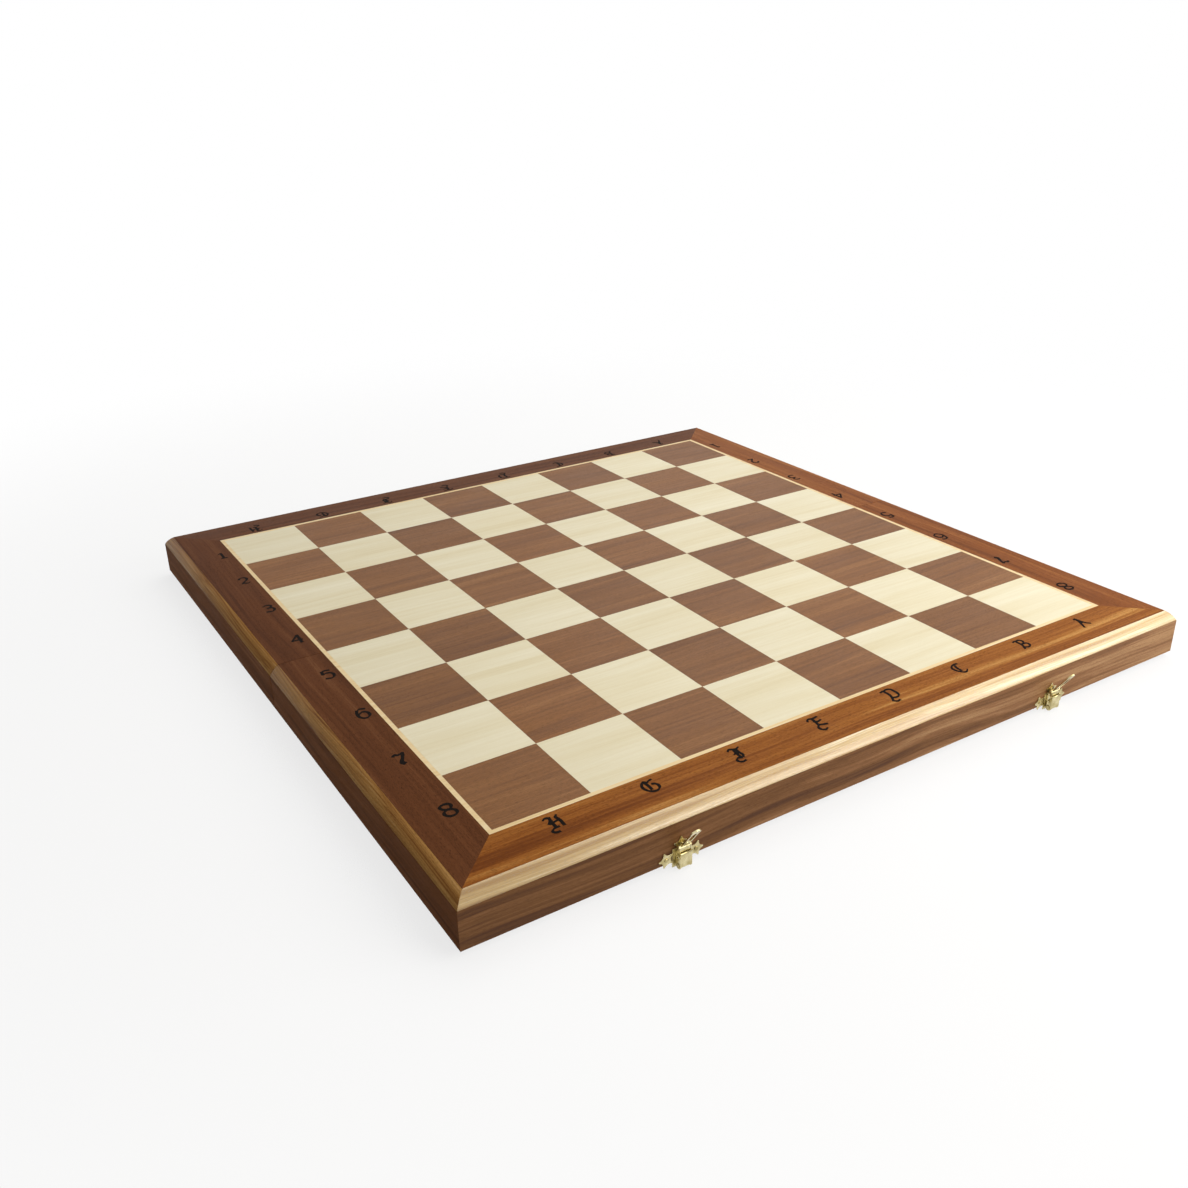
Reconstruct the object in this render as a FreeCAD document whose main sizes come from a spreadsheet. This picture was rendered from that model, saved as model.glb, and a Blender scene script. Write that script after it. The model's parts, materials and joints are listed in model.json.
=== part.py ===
import FreeCAD, Part
import os
import re

# Folding chess board: two shallow trays joined at a spine, playing side up when open.
# X runs along the letter edges, Y from the latch side to the keeper side, Z up.
# The origin is the middle of the overall box, on the table.

SIZES = {
    # Playing field and its frame, seen from above
    "square": 58,
    "string_width": 2.8,
    "border_width": 29.6,
    "moulding_width": 6.3,
    "fold_gap": 0.4,
    "glue_line": 0.06,
    # Heights, from the rim of a tray upwards
    "wall_height": 23.4,
    "moulding_drop": 6.6,
    "moulding_bulge": 0.7,
    "veneer_thick": 0.7,
    "felt_thick": 1,
    "felt_clear": 0.3,
    # Walls of the trays
    "rail_thick": 9,
    "spine_thick": 8,
    # Felt pads under the rims, staggered so that they pass each other when folded
    "pad_height": 3.5,
    "pad_radius": 2.6,
    "pad_edge": 0.2,
    "front_pad_inset": 35,
    "rear_pad_inset": 55,
    # Butt hinges let into the rims of the two spines
    "hinge_inset": 106,
    "hinge_length": 40,
    "leaf_width": 7.4,
    "leaf_thick": 1,
    "knuckle_radius": 2.2,
    "knuckle_gap": 0.2,
    "notch_clear": 0.3,
    "hinge_pin_radius": 0.9,
    "running_clear": 0.05,
    "screw_spread": 24,
    "screw_inset": 4.9,
    "screw_radius": 0.9,
    "screw_head_radius": 1.8,
    "screw_length": 9,
    # Draw latches on the front wall: base plate
    "latch_inset": 126.7,
    "plate_thick": 0.6,
    "plate_half_width": 5.6,
    "plate_low": -3,
    "plate_high": 8.2,
    "star_reach": 4.8,
    "star_bite": 0.9,
    "bite_radius": 3.2,
    "wing_x": 9.4,
    "wing_height": 3,
    "top_wing_height": 9.7,
    "nail_radius": 0.6,
    "nail_head_radius": 1.2,
    "nail_head_thick": 0.5,
    "nail_length": 7,
    # Draw latches: lever, its two rivets and the slotted tongue
    "pivot_out": 2.9,
    "pivot_height": -1,
    "rivet_radius": 0.8,
    "rivet_head_radius": 1.2,
    "rivet_head_thick": 0.3,
    "ear_thick": 0.5,
    "ear_clear": 0.05,
    "ear_radius": 1.3,
    "ear_rise": 3,
    "lever_half_width": 3.7,
    "lever_sheet": 0.5,
    "lever_depth": 2.1,
    "lever_skirt": 0.4,
    "lever_height": 7,
    "lever_lip_radius": 0.45,
    "cheek_hole_radius": 1,
    "cheek_hole_height": 3.8,
    "tongue_pivot_height": 9.8,
    "tongue_ear_radius": 1.35,
    "tongue_pin_radius": 0.7,
    "tongue_pin_head_radius": 1.1,
    "tongue_pin_head_thick": 0.5,
    "tongue_barrel_radius": 1.25,
    "tongue_side_clear": 0.15,
    "tongue_width": 5,
    "tongue_thick": 0.8,
    "tongue_lean": 34,
    "tongue_skirt": 2,
    "tongue_head_at": 16.9,
    "tongue_head_radius": 3,
    "slot_start": 6.4,
    "slot_end": 14.5,
    "slot_radius": 1.5,
    # Keepers on the rear wall
    "keeper_half_width": 5,
    "keeper_low": 1,
    "keeper_high": 9,
    "keeper_wing_x": 8.8,
    "keeper_wing_height": 5,
    "hook_sheet": 0.6,
    "hook_width": 2.6,
    "hook_height": 2.4,
    "hook_reach": 2.9,
    "hook_lip": 3,
}

KNUCKLES = 5
STAR_POINTS = 5
RANKS_PER_HALF = 4
FILES = 8

doc = FreeCAD.newDocument("folding_chess_board")
sheet = doc.addObject("Spreadsheet::Sheet", "Sizes")
for row, (alias, size) in enumerate(SIZES.items(), start=1):
    sheet.set(f"A{row}", alias)
    sheet.set(f"B{row}", str(size))
    sheet.setAlias(f"B{row}", alias)
doc.recompute()

# Places worked out from the sheet, as expressions
STRING_OUT = "(square * 4 + string_width)"
BORDER_OUT = "(square * 4 + string_width + border_width)"
HALF_WIDTH = "(square * 4 + string_width + border_width + moulding_width)"
HALF_GAP = "fold_gap / 2"
GLUE = "glue_line / 2"
HALF_DEPTH = f"({HALF_GAP} + {HALF_WIDTH})"
HINGE_X = f"({HALF_WIDTH} - hinge_inset)"
LATCH_X = f"({HALF_WIDTH} - latch_inset)"
VENEER_LOW = "(wall_height + moulding_drop - veneer_thick)"
TONGUE_REACH = "(pivot_out + (tongue_head_at + tongue_head_radius) * sin(tongue_lean)" \
    " + tongue_thick / 2 * cos(tongue_lean))"
FOLD_Y = f"(({TONGUE_REACH} - hook_reach) / 2)"

nodes = {}


def bound(text):
    """Expression text with every size name pointed at the sheet."""
    return re.sub(r"[a-z_]+", lambda m: f"Sizes.{m[0]}" if m[0] in SIZES else m[0], str(text))


def bind(obj, **sizes):
    for name, text in sizes.items():
        obj.setExpression(name, bound(text))
    return obj


def put(obj, x=0, y=0, z=0, axis=(0, 0, 1), turn=0):
    """Place a piece in the frame it is built in."""
    obj.Placement = FreeCAD.Placement(FreeCAD.Vector(), FreeCAD.Rotation(FreeCAD.Vector(axis), turn))
    for letter, text in zip("xyz", (x, y, z)):
        obj.setExpression(f"Placement.Base.{letter}", bound(text))
    return obj


def seat(obj, label, half, x=0, y=0, z=0, turn=0):
    """Place a finished node by its half: the rear half is the front one turned about the fold."""
    side = -1 if half == "rear" else 1
    put(obj, f"{side} * ({x})", f"{FOLD_Y} + {side} * ({y})", f"pad_height + {z}",
        turn=turn + (180 if half == "rear" else 0))
    obj.Label = label
    nodes[label] = obj
    return obj


def box(x0, x1, y0, y1, z0, z1):
    obj = doc.addObject("Part::Box", "Box")
    bind(obj, Length=f"({x1}) - ({x0})", Width=f"({y1}) - ({y0})", Height=f"({z1}) - ({z0})")
    return put(obj, x0, y0, z0)


def mitred(length, width, height, start=0, end=0):
    """Strip along X with its outer edge on Y = 0 and its inner edge shortened by the mitres."""
    obj = doc.addObject("Part::Wedge", "Mitred")
    return bind(obj, Xmin=0, Xmax=length, X2min=start, X2max=f"{length} - ({end})", Ymin=0, Ymax=width,
                Zmin=0, Zmax=height, Z2min=0, Z2max=height)


def rod(axis, radius, x, y, z, length):
    """Cylinder that starts at a point and runs along an axis: 'x', 'z' or 'out' of the front wall."""
    obj = doc.addObject("Part::Cylinder", "Rod")
    bind(obj, Radius=radius, Height=length)
    spin = {"x": ((0, 1, 0), 90), "z": ((0, 0, 1), 0), "out": ((1, 0, 0), 90)}[axis]
    return put(obj, x, y, z, *spin)


def fuse(pieces):
    obj = doc.addObject("Part::MultiFuse", "Fused")
    obj.Shapes = pieces
    obj.Refine = True
    return obj


def cut(base, tools):
    obj = doc.addObject("Part::Cut", "Cut")
    obj.Base = base
    obj.Tool = tools[0] if len(tools) == 1 else fuse(tools)
    return obj


def group(pieces):
    obj = doc.addObject("Part::Compound", "Group")
    obj.Links = pieces
    return obj


# Frame strips run along the outer edge, the left edge or the right edge of a half
def side_name(half, edge):
    """Left is towards -X on both halves, though the rear half is built turned round."""
    return {"left": "right", "right": "left"}.get(edge, edge) if half == "rear" else edge


def strip_places(out):
    """Where the three strips of a frame start, with their turn, for a frame that reaches to 'out'."""
    front = f"-({HALF_GAP} + {out})"
    return {
        "outer": (f"-({out})", front, 0),
        "left": (f"-({out})", f"-{HALF_GAP}", -90),
        "right": (out, front, 90),
    }


def strip(edge, out, width, height):
    """One mitred frame strip: both ends are mitred on the outer edge, only the outer end at the sides."""
    if edge == "outer":
        return mitred(f"2 * {out}", width, height, width, width)
    if edge == "left":
        return mitred(out, width, height, end=width)
    return mitred(out, width, height, start=width)


def frame_strips(half, name, out, width, z, height):
    for edge, (x, y, turn) in strip_places(out).items():
        label = f"{half}_{side_name(half, edge)}_{name}"
        seat(strip(edge, out, width, height), label, half, x, y, z, turn)


# Veneered panel: ply core, light and dark squares, string line and mitred border
def panel(half):
    core = box(f"-{BORDER_OUT}", BORDER_OUT, f"-({HALF_GAP} + {BORDER_OUT})", f"-{HALF_GAP}",
               "wall_height", VENEER_LOW)
    seat(core, f"{half}_panel_core", half, f"-{BORDER_OUT}", f"-({HALF_GAP} + {BORDER_OUT})", "wall_height")
    top = f"{VENEER_LOW} + veneer_thick"
    squares = {"dark": [], "light": []}
    for rank in range(RANKS_PER_HALF):
        for file in range(FILES):
            x = f"square * {file - FILES // 2}"
            y = f"-({HALF_GAP} + square * {RANKS_PER_HALF - rank})"
            colour = "light" if (rank + file) % 2 else "dark"
            squares[colour].append(box(f"{x} + {GLUE}", f"{x} + square - {GLUE}", f"{y} + {GLUE}",
                                       f"{y} + square - {GLUE}", VENEER_LOW, top))
    for colour, pieces in squares.items():
        seat(group(pieces), f"{half}_{colour}_squares", half)
    lines = []
    for edge, (x, y, turn) in strip_places(STRING_OUT).items():
        line = strip(edge, STRING_OUT, "string_width", "veneer_thick")
        lines.append(put(line, x, y, VENEER_LOW, turn=turn))
    seat(group(lines), f"{half}_string_line", half)
    frame_strips(half, "border", BORDER_OUT, "border_width", VENEER_LOW, "veneer_thick")


# Pale edge moulding: a mitred strip rounded over by one large cylinder
def mouldings(half):
    chord = "sqrt(moulding_width ^ 2 + moulding_drop ^ 2)"
    radius = f"({chord} ^ 2 / (8 * moulding_bulge) + moulding_bulge / 2)"
    inset = f"({radius} - moulding_bulge) / {chord}"
    for edge, (x, y, turn) in strip_places(HALF_WIDTH).items():
        round_over = rod("x", radius, 0, f"moulding_width / 2 + moulding_drop * {inset}",
                         f"moulding_drop / 2 - moulding_width * {inset}", f"2 * {HALF_WIDTH}")
        piece = doc.addObject("Part::Common", "Moulding")
        piece.Base = strip(edge, HALF_WIDTH, "moulding_width", "moulding_drop")
        piece.Tool = round_over
        seat(piece, f"{half}_{side_name(half, edge)}_moulding", half, x, y, "wall_height", turn)


# Tray walls: mitred at the outer corners, with the spine between the two side walls
def walls(half):
    nail_places = latch_nails() if half == "front" else keeper_nails()
    for edge, (x, y, turn) in strip_places(HALF_WIDTH).items():
        wall = strip(edge, HALF_WIDTH, "rail_thick", "wall_height")
        if edge == "outer":
            holes = []
            for side in (-1, 1):
                for nail_x, nail_z, _ in nail_places:
                    along = f"{HALF_WIDTH} + {side} * {LATCH_X} + {nail_x}"
                    holes.append(rod("out", "nail_radius", along, "nail_length", nail_z, "nail_length"))
            wall = cut(wall, holes)
        seat(wall, f"{half}_{side_name(half, edge)}_wall", half, x, y, 0, turn)
    inner = f"({HALF_WIDTH} - rail_thick)"
    spine = box(f"-{inner}", inner, f"-({HALF_GAP} + spine_thick)", f"-{HALF_GAP}", 0, "wall_height")
    room = "(hinge_length / 2 + notch_clear)"
    notch = "(knuckle_radius + notch_clear)"
    tools = []
    for side in (-1, 1):
        x = f"{side} * {HINGE_X}"
        tools.append(box(f"{x} - {room}", f"{x} + {room}", f"-{notch}", 0, 0, notch))
        tools.append(box(f"{x} - {room}", f"{x} + {room}", "-leaf_width", 0, 0, "leaf_thick"))
        for hand in (-1, 1):
            tools.append(rod("z", "screw_radius", f"{x} + {hand} * screw_spread / 2", "-screw_inset", 0,
                             "screw_length"))
    seat(cut(spine, tools), f"{half}_spine_wall", half)


# Felt lining under the panel and felt pads under the rim
def felts(half):
    side = f"({HALF_WIDTH} - rail_thick - felt_clear)"
    outer = f"-({HALF_DEPTH} - rail_thick - felt_clear)"
    low = "wall_height - felt_thick"
    lining = box(f"-{side}", side, outer, f"-({HALF_GAP} + spine_thick + felt_clear)", low, "wall_height")
    seat(lining, f"{half}_felt_lining", half, f"-{side}", outer, low)
    pads = []
    for hand in (-1, 1):
        x = f"{hand} * ({HALF_WIDTH} - {half}_pad_inset)"
        y = f"-({HALF_DEPTH} - rail_thick + pad_radius + pad_edge)"
        pads.append(rod("z", "pad_radius", x, y, "-pad_height", "pad_height"))
    seat(group(pads), f"{half}_felt_pads", half)


# Butt hinge, built about its pin: a leaf let into each spine, alternate knuckles, one pin
def hinge(name, side):
    pitch = f"hinge_length / {KNUCKLES}"
    clear = "-(knuckle_radius + notch_clear)"
    for half in ("front", "rear"):
        pieces = [box("-hinge_length / 2", "hinge_length / 2", "-leaf_width", clear, 0, "leaf_thick")]
        for index in range(0 if half == "front" else 1, KNUCKLES, 2):
            start = f"{pitch} * {index} - hinge_length / 2 + knuckle_gap / 2"
            length = f"{pitch} - knuckle_gap"
            pieces.append(rod("x", "knuckle_radius", start, 0, 0, length))
            pieces.append(box(start, f"{start} + {length}", clear, 0, 0, "leaf_thick"))
        tools = [rod("x", "hinge_pin_radius + running_clear", "-hinge_length / 2", 0, 0, "hinge_length")]
        for hand in (-1, 1):
            tools.append(screw_head(f"{hand} * screw_spread / 2"))
        leaf_side = side if half == "front" else -side
        seat(cut(fuse(pieces), tools), f"{name}_hinge_{half}_leaf", half, f"{leaf_side} * {HINGE_X}")
    pin = rod("x", "hinge_pin_radius", "-hinge_length / 2", 0, 0, "hinge_length")
    pin_node = group([pin])
    seat(pin_node, f"{name}_hinge_pin", "front", f"{side} * {HINGE_X}")


def screw_head(x):
    """Countersunk head, flush with the face of the leaf."""
    head = doc.addObject("Part::Cone", "Head")
    bind(head, Radius1="screw_head_radius", Radius2="screw_radius", Height="leaf_thick")
    return put(head, x, "-screw_inset", 0)


def hinge_screws(half):
    screws = []
    for side in (-1, 1):
        for hand in (-1, 1):
            x = f"{side} * {HINGE_X} + {hand} * screw_spread / 2"
            shank = rod("z", "screw_radius", x, "-screw_inset", "leaf_thick", "screw_length - leaf_thick")
            screws.append(fuse([screw_head(x), shank]))
    seat(group(screws), f"{half}_hinge_screws", half)


# Star-shaped wings of the plates: a flat five-sided prism with a bite out of each side
def star(x, z, tip):
    """Star of sheet metal about a nail, with one point turned to the angle 'tip' from +X."""
    prism = doc.addObject("Part::Prism", "Star")
    prism.Polygon = STAR_POINTS
    bind(prism, Circumradius="star_reach", Height="plate_thick")
    put(prism)
    bites = []
    step = 360 / STAR_POINTS
    far = f"(star_reach * cos({step / 2}) - star_bite + bite_radius)"
    for side in range(STAR_POINTS):
        angle = step * (side + 0.5)
        across, up = f"{far} * cos({angle})", f"{far} * sin({angle})"
        bites.append(rod("z", "bite_radius", across, up, 0, "plate_thick"))
    flat = put(cut(prism, bites), turn=tip)
    return put(group([flat]), x, 0, z, axis=(1, 0, 0), turn=90)


def nail(x, z):
    shank = rod("out", "nail_radius", x, "nail_length", z, "nail_length + plate_thick")
    head = rod("out", "nail_head_radius", x, "-plate_thick", z, "nail_head_thick")
    return fuse([shank, head])


def latch_nails():
    return [("-wing_x", "wing_height", 180), ("wing_x", "wing_height", 0), ("0", "top_wing_height", 90)]


def keeper_nails():
    return [("-keeper_wing_x", "keeper_wing_height", 180), ("keeper_wing_x", "keeper_wing_height", 0)]


def nail_group(places):
    nails = []
    for side in (-1, 1):
        for x, z, _ in places:
            nails.append(put(nail(x, z), f"{side} * {LATCH_X}", f"-{HALF_DEPTH}"))
    return nails


def winged_plate(places, half_width, low, high):
    """Flat plate with a star wing round every nail, and the holes for the nails."""
    pieces = [box(f"-{half_width}", half_width, "-plate_thick", 0, low, high)]
    pieces += [star(x, z, tip) for x, z, tip in places]
    holes = [rod("out", "nail_radius", x, 0, z, "plate_thick") for x, z, _ in places]
    return pieces, holes


# Base plate of a latch, with two ears that carry the lever
def latch_plate(name, side):
    pieces, holes = winged_plate(latch_nails(), "plate_half_width", "plate_low", "plate_high")
    outer = "(lever_half_width - lever_sheet - ear_clear)"
    for hand in (-1, 1):
        start = f"{outer} - ear_thick" if hand > 0 else f"-{outer}"
        pieces.append(box(start, f"{start} + ear_thick", "-pivot_out", 0, "pivot_height",
                          "pivot_height + ear_rise"))
        pieces.append(rod("x", "ear_radius", start, "-pivot_out", "pivot_height", "ear_thick"))
    holes.append(rod("x", "rivet_radius", f"-{outer}", "-pivot_out", "pivot_height", f"2 * {outer}"))
    seat(cut(fuse(pieces), holes), f"{name}_latch_plate", "front", f"{side} * {LATCH_X}", f"-{HALF_DEPTH}")


def lever_rivets(name, side):
    """Two short rivets, so that the tongue can pass between the ears."""
    rivets = []
    inner = "(lever_half_width - lever_sheet - ear_clear - ear_thick)"
    for hand in (-1, 1):
        length = f"(lever_half_width + running_clear - {inner})"
        start = inner if hand > 0 else "-(lever_half_width + running_clear)"
        head = "lever_half_width + running_clear" if hand > 0 \
            else "-(lever_half_width + running_clear + rivet_head_thick)"
        rivets.append(fuse([
            rod("x", "rivet_radius", start, "-pivot_out", "pivot_height", length),
            rod("x", "rivet_head_radius", head, "-pivot_out", "pivot_height", "rivet_head_thick"),
        ]))
    seat(group(rivets), f"{name}_latch_rivets", "front", f"{side} * {LATCH_X}", f"-{HALF_DEPTH}")


# Lever: a channel of bent sheet, open towards the wall, with a finger lip on top
def latch_lever(name, side):
    front = "(pivot_out + lever_depth)"
    back = "(pivot_out - lever_depth)"
    ear = "tongue_ear_radius"
    high = "tongue_pivot_height"
    pieces = [
        box("-lever_half_width", "lever_half_width", f"-{front}", f"-({front} - lever_sheet)",
            "pivot_height - lever_skirt", "lever_height"),
        rod("x", "lever_lip_radius", "-lever_half_width", f"-({front} - lever_sheet + lever_lip_radius)",
            "lever_height", "2 * lever_half_width"),
    ]
    for hand in (-1, 1):
        start = "lever_half_width - lever_sheet" if hand > 0 else "-lever_half_width"
        end = f"{start} + lever_sheet"
        pieces.append(box(start, end, f"-{front}", f"-{back}", "pivot_height", "lever_height"))
        pieces.append(rod("x", "lever_depth", start, "-pivot_out", "pivot_height", "lever_sheet"))
        pieces.append(box(start, end, f"-{ear} - pivot_out", f"{ear} - pivot_out", "pivot_height", high))
        pieces.append(rod("x", ear, start, "-pivot_out", high, "lever_sheet"))
    tools = []
    for radius, height in (("rivet_radius + running_clear", "pivot_height"),
                           ("cheek_hole_radius", "cheek_hole_height"),
                           ("tongue_pin_radius", "tongue_pivot_height")):
        tools.append(rod("x", radius, "-lever_half_width", "-pivot_out", height, "2 * lever_half_width"))
    seat(cut(fuse(pieces), tools), f"{name}_latch_lever", "front", f"{side} * {LATCH_X}", f"-{HALF_DEPTH}")


def tongue_pin(name, side):
    half = "lever_half_width"
    pieces = [rod("x", "tongue_pin_radius", f"-{half}", "-pivot_out", "tongue_pivot_height", f"2 * {half}")]
    for start in (half, f"-({half} + tongue_pin_head_thick)"):
        pieces.append(rod("x", "tongue_pin_head_radius", start, "-pivot_out", "tongue_pivot_height",
                          "tongue_pin_head_thick"))
    seat(fuse(pieces), f"{name}_tongue_pin", "front", f"{side} * {LATCH_X}", f"-{HALF_DEPTH}")


# Slotted tongue, built upright about its pin and then leaned out from the wall, with a short skirt that
# closes the top of the lever
def latch_tongue(name, side):
    half = "(lever_half_width - lever_sheet - tongue_side_clear)"
    low = "-tongue_thick / 2"
    strap = [
        rod("x", "tongue_barrel_radius", f"-{half}", 0, 0, f"2 * {half}"),
        box("-tongue_width / 2", "tongue_width / 2", low, "tongue_thick / 2", 0, "tongue_head_at"),
        rod("out", "tongue_head_radius", 0, "tongue_thick / 2", "tongue_head_at", "tongue_thick"),
    ]
    tools = [
        rod("x", "tongue_pin_radius + running_clear", f"-{half}", 0, 0, f"2 * {half}"),
        box("-slot_radius", "slot_radius", low, "tongue_thick / 2", "slot_start", "slot_end"),
        rod("out", "slot_radius", 0, "tongue_thick / 2", "slot_start", "tongue_thick"),
        rod("out", "slot_radius", 0, "tongue_thick / 2", "slot_end", "tongue_thick"),
    ]
    leaned = cut(fuse(strap), tools)
    put(leaned, 0, 0, 0, axis=(1, 0, 0), turn=sheet.tongue_lean)
    leaned.setExpression("Placement.Rotation.Angle", bound("tongue_lean"))
    skirt = box(f"-{half}", half, "-tongue_barrel_radius", "tongue_thick - tongue_barrel_radius",
                "-tongue_skirt", 0)
    bore = rod("x", "tongue_pin_radius + running_clear", f"-{half}", 0, 0, f"2 * {half}")
    whole = cut(fuse([leaned, skirt]), [bore])
    put(whole, 0, "-pivot_out", "tongue_pivot_height")
    seat(group([whole]), f"{name}_latch_tongue", "front", f"{side} * {LATCH_X}", f"-{HALF_DEPTH}")


# Keeper: a winged plate with a hook that opens away from the rim
def keeper(name, side):
    pieces, holes = winged_plate(keeper_nails(), "keeper_half_width", "keeper_low", "keeper_high")
    hook = "hook_width / 2"
    top = "hook_height + hook_sheet"
    pieces.append(box(f"-{hook}", hook, "-hook_reach", 0, "hook_height", top))
    pieces.append(box(f"-{hook}", hook, "-hook_reach", "-(hook_reach - hook_sheet)", "hook_height",
                      f"{top} + hook_lip"))
    seat(cut(fuse(pieces), holes), f"{name}_keeper", "rear", f"{-side} * {LATCH_X}", f"-{HALF_DEPTH}")


for tray in ("front", "rear"):
    panel(tray)
    mouldings(tray)
    walls(tray)
    felts(tray)
    hinge_screws(tray)
for hand_name, hand_side in (("left", -1), ("right", 1)):
    hinge(hand_name, hand_side)
    latch_plate(hand_name, hand_side)
    lever_rivets(hand_name, hand_side)
    latch_lever(hand_name, hand_side)
    tongue_pin(hand_name, hand_side)
    latch_tongue(hand_name, hand_side)
    keeper(hand_name, hand_side)
seat(group(nail_group(latch_nails())), "latch_nails", "front")
seat(group(nail_group(keeper_nails())), "keeper_nails", "rear")
doc.recompute()

failed = [obj.Label for obj in doc.Objects if {"Invalid", "Error"} & set(obj.State)]
for label, obj in nodes.items():
    if obj.Shape.isNull() or not obj.Shape.isValid() or not obj.Shape.Solids:
        failed.append(label)
if failed:
    raise RuntimeError(f"these pieces did not build: {failed}")

os.makedirs("parts", exist_ok=True)
for label, obj in nodes.items():
    obj.Shape.exportStep(f"parts/{label}.step")
    print(f"{label}: {len(obj.Shape.Solids)} solids, {obj.Shape.Volume:.1f} mm3")
print(f"{len(nodes)} nodes")
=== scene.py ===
# %% [markdown]
# # A folding chess board
# The board lies open on a table with its playing side up. Two shallow wooden trays meet at a fold, each
# one veneered with half of the squares, a string line and a mitred border, and edged with a pale moulding.
# Two brass draw latches hang on the near wall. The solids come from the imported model, in metres. This
# lesson gives them their woods, felt and brass, stamps the letters and numbers, and sets up the light and
# the camera.

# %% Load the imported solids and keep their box
import json
import math
import bmesh
import bpy
from mathutils import Matrix, Vector


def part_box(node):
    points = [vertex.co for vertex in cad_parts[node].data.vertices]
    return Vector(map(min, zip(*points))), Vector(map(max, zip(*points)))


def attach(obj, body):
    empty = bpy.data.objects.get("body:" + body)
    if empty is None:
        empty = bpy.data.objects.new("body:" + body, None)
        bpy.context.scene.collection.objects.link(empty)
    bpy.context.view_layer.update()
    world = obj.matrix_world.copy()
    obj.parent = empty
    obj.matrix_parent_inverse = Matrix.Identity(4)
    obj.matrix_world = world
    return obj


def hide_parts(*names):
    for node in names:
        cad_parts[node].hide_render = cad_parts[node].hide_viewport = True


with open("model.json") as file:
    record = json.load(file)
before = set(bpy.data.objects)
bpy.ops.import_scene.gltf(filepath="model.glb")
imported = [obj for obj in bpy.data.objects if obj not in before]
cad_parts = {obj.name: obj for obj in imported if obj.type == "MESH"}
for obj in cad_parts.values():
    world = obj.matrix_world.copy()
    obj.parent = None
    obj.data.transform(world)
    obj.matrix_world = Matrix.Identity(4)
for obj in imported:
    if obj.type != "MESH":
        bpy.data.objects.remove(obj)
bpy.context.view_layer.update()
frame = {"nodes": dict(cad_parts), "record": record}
nodes = frame["nodes"]
HALVES = ("front", "rear")
SIDES = ("left", "right")
MM = 0.001

# %% [markdown]
# ## Measures read from the solids
# The fold line, the size of a square and the height of the playing face could be typed again here. They
# are read back from the solids instead, so that the grain and the letters stay in register with them.

# %% Read the fold, the squares and the top
FILES = 8
RANKS_PER_HALF = 4
joints = frame["record"]["behaviour"]["joints"]
fold_y = next(joint["pos_m"][1] for joint in joints if joint["name"] == "fold")
field_low, field_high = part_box("front_dark_squares")
top_z = field_high[2]
square = (field_high[0] - field_low[0]) / FILES
half_gap = fold_y - field_high[1]
print(f"fold at y {fold_y / MM:.2f} mm, squares {square / MM:.2f} mm, top at {top_z / MM:.1f} mm")

# %% [markdown]
# ## Small helpers for materials
# Every finish is a node tree. A colour is easiest to judge as the number a paint program shows, so `shade`
# turns that into the linear value a shader needs. `add` makes one node and fills its sockets by name.

# %% Helpers: colour, node, link
def shade(code):
    """Linear RGBA from a six-digit colour code."""
    parts = [int(code[i:i + 2], 16) / 255 for i in (0, 2, 4)]
    return [p / 12.92 if p <= 0.04045 else ((p + 0.055) / 1.055) ** 2.4 for p in parts] + [1.0]


def add(tree, kind, sockets=None, **settings):
    """One node; sockets are filled with values, or joined to the sockets given."""
    node = tree.nodes.new(kind)
    for name, value in settings.items():
        setattr(node, name, value)
    for name, value in (sockets or {}).items():
        if isinstance(value, bpy.types.NodeSocket):
            tree.links.new(value, node.inputs[name])
        else:
            node.inputs[name].default_value = value
    return node


def blank(name):
    """A material with its shader, ready to wire up."""
    material = bpy.data.materials.new(name)
    material.use_nodes = True
    return material, material.node_tree, material.node_tree.nodes["Principled BSDF"]


def maths(tree, operation, a, b=0.0, c=0.0):
    """One sum with up to three numbers."""
    return add(tree, "ShaderNodeMath", {0: a, 1: b, 2: c}, operation=operation).outputs[0]


def vector(tree, operation, a, b=(0, 0, 0)):
    """One sum with vectors."""
    return add(tree, "ShaderNodeVectorMath", {0: a, 1: b}, operation=operation).outputs[0]


def blend_colour(tree, amount, a, b):
    """Colour a turning into colour b. The Mix node's colour sockets are found by number."""
    node = add(tree, "ShaderNodeMix", {0: amount, 6: a, 7: b}, data_type="RGBA")
    return node.outputs[2]


def ramp(tree, amount, stops):
    """Colour ramp through (place, colour) stops."""
    node = add(tree, "ShaderNodeValToRGB", {"Fac": amount})
    band = node.color_ramp
    while len(band.elements) < len(stops):
        band.elements.new(0.5)
    for element, (place, colour) in zip(band.elements, stops):
        element.position = place
        element.color = colour
    return node.outputs["Color"]


def grey(value):
    """A neutral colour."""
    return (value, value, value, 1.0)


# %% [markdown]
# ## Wood
# Real wood is a solid with a direction: long vessels, broad ribbons of growth, and short dark pores, all
# stretched along the grain. A picture of wood could be wrapped round each piece, but it would break at
# every edge. The pattern is therefore a three-dimensional noise in millimetres, squeezed across the grain
# and drawn out along it, which also gives end grain where a piece is cut across. Veneer squares are cut
# from different leaves, so each square shifts the pattern by a random amount and is a little lighter or
# darker.

# %% Grain coordinates
SWAY_LENGTH = 150.0
SWAY_WIDTH = 120.0
LEAF_JUMP = (900, 900, 900)


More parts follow.
